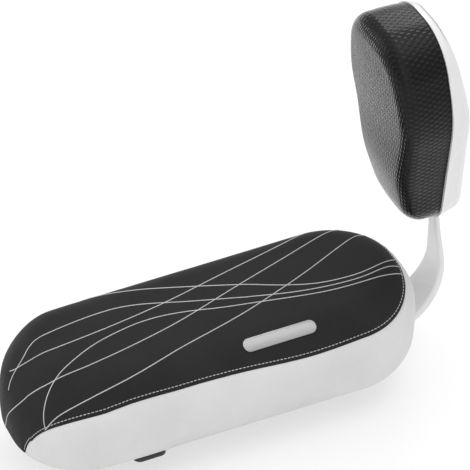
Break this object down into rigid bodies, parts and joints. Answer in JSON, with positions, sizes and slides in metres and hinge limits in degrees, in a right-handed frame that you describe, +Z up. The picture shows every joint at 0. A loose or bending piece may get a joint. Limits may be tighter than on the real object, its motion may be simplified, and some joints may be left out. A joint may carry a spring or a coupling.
{
  "type": "bicycle rack cushion seat",
  "caption": "Padded cushion for a bicycle's rear rack, black on top with a white side band, clamps below and a small padded backrest on a bent steel arm.",
  "frame": {"origin": "middle of the raised land under the base, on the face that sits on the rack", "axes": "+X the direction of travel, +Y the rider's left, +Z up"},
  "size_m": [0.3836, 0.1382, 0.3376],
  "materials": {
    "black_leather": "satin",
    "white_leather": "satin",
    "embossed_leather": "gloss",
    "foam": "matte",
    "black_plastic": "matte",
    "white_plastic": "gloss",
    "arm_paint": "satin",
    "black_steel": "satin",
    "zinc_steel": "satin",
    "badge_metal": "satin",
    "board": "matte"
  },
  "bodies": {
    "cushion": {"seat_base": "black_plastic", "seat_foam": "foam", "seat_top_cover": "black_leather", "seat_side_cover": "white_leather", "cover_staples": "zinc_steel", "badge_plate": "badge_metal", "clamp_bolts": "zinc_steel", "backrest_arm": "arm_paint", "foot_screws": "zinc_steel", "foot_tee_nuts": "zinc_steel", "backrest_board": "board", "backrest_foam": "foam", "backrest_cover": "embossed_leather", "backrest_shell": "white_plastic", "arm_screws": "zinc_steel", "arm_tee_nuts": "zinc_steel", "shell_screws": "zinc_steel", "backrest_staples": "zinc_steel"},
    "front_clamp": {"front_clamp_plate": "black_steel", "front_clamp_washers": "zinc_steel", "front_wing_nuts": "zinc_steel"},
    "rear_clamp": {"rear_clamp_plate": "black_steel", "rear_clamp_washers": "zinc_steel", "rear_wing_nuts": "zinc_steel"}
  },
  "joints": [
    {"name": "front_clamp_slide", "type": "slide", "parent": "cushion", "child": "front_clamp", "axis": [0, 0, -1], "range_m": [0, 0.008]},
    {"name": "rear_clamp_slide", "type": "slide", "parent": "cushion", "child": "rear_clamp", "axis": [0, 0, -1], "range_m": [0, 0.008]}
  ]
}
